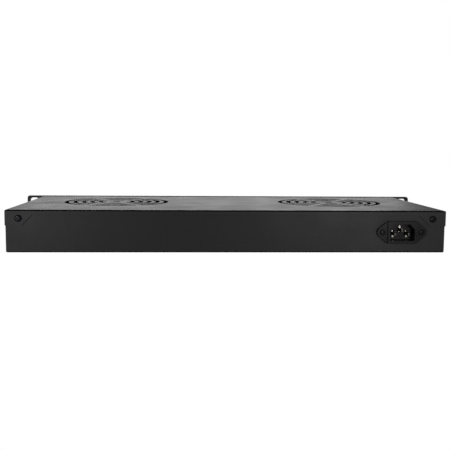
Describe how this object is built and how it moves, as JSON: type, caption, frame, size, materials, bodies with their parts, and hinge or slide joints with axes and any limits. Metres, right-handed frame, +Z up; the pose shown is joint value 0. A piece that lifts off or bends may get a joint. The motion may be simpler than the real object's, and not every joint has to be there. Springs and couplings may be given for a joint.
{
  "type": "rackmount fan unit",
  "caption": "One-unit rack cooling tray: black folded-steel box with ring-slotted fan vents, rack ears at the front, and a mains inlet and chamfered cover tabs at the rear.",
  "frame": {"origin": "bottom centre of the whole unit's box, at the rack panel's bottom edge", "axes": "+X along the width, to the right as seen from the rear; +Y from the rear wall with the mains inlet to the rack panel; +Z up"},
  "size_m": [0.4826, 0.2068, 0.0437],
  "materials": {
    "black_powder_coat": "satin, fine texture",
    "black_screw": "black oxide, satin",
    "black_moulding": "satin",
    "nickel_plate": "bright nickel plate",
    "black_die_casting": "matt black paint",
    "impeller_polyester": "satin",
    "lamination_steel": "bare rolled steel",
    "copper_winding": "enamelled copper",
    "natural_nylon": "satin",
    "brown_wire": "satin PVC",
    "blue_wire": "satin PVC",
    "green_yellow_wire": "satin PVC, striped",
    "black_wire": "satin PVC",
    "zinc_plated_steel": "bright zinc plate"
  },
  "bodies": {
    "chassis": {"base_tray": "black_powder_coat", "top_cover": "black_powder_coat", "front_panel": "black_powder_coat", "cover_screw_left": "black_screw", "cover_screw_right": "black_screw", "side_screw_left": "black_screw", "side_screw_right": "black_screw", "panel_screw_left_outer": "black_screw", "panel_screw_left_inner": "black_screw", "panel_screw_right_inner": "black_screw", "panel_screw_right_outer": "black_screw", "fan_screw_left_1": "black_screw", "fan_screw_left_2": "black_screw", "fan_screw_left_3": "black_screw", "fan_screw_left_4": "black_screw", "fan_screw_right_1": "black_screw", "fan_screw_right_2": "black_screw", "fan_screw_right_3": "black_screw", "fan_screw_right_4": "black_screw", "inlet_body": "black_moulding", "inlet_blade_live": "nickel_plate", "inlet_blade_neutral": "nickel_plate", "inlet_blade_earth": "nickel_plate", "inlet_screw_left": "black_screw", "inlet_screw_right": "black_screw", "inlet_nut_left": "zinc_plated_steel", "inlet_nut_right": "zinc_plated_steel", "earth_stud": "zinc_plated_steel", "earth_ring_terminal": "nickel_plate", "earth_nut": "zinc_plated_steel", "terminal_block": "natural_nylon", "terminal_block_screw": "zinc_plated_steel", "switch_housing": "black_moulding", "switch_tab_feed": "nickel_plate", "switch_tab_load": "nickel_plate", "fan_frame_left": "black_die_casting", "stator_core_left": "lamination_steel", "stator_winding_left": "copper_winding", "lower_bearing_left": "zinc_plated_steel", "upper_bearing_left": "zinc_plated_steel", "fan_frame_right": "black_die_casting", "stator_core_right": "lamination_steel", "stator_winding_right": "copper_winding", "lower_bearing_right": "zinc_plated_steel", "upper_bearing_right": "zinc_plated_steel", "live_lead": "brown_wire", "neutral_lead": "blue_wire", "earth_lead": "green_yellow_wire", "switched_lead": "brown_wire", "fan_lead_left": "black_wire", "fan_lead_right": "black_wire", "lead_clip_1": "black_moulding", "lead_clip_2": "black_moulding"},
    "left_impeller": {"impeller_left": "impeller_polyester", "rotor_ring_left": "lamination_steel", "fan_shaft_left": "zinc_plated_steel"},
    "right_impeller": {"impeller_right": "impeller_polyester", "rotor_ring_right": "lamination_steel", "fan_shaft_right": "zinc_plated_steel"},
    "rocker": {"switch_rocker": "black_moulding"}
  },
  "joints": [
    {"name": "left_impeller_spin", "type": "hinge", "parent": "chassis", "child": "left_impeller", "pos_m": [-0.1216, 0.009, 0.02], "axis": [0, 0, 1], "continuous": true},
    {"name": "right_impeller_spin", "type": "hinge", "parent": "chassis", "child": "right_impeller", "pos_m": [0.1216, 0.009, 0.02], "axis": [0, 0, 1], "continuous": true},
    {"name": "power_rocker", "type": "hinge", "parent": "chassis", "child": "rocker", "pos_m": [0.192, 0.099, 0.02183], "axis": [1, 0, 0], "range_deg": [0, 20]}
  ]
}
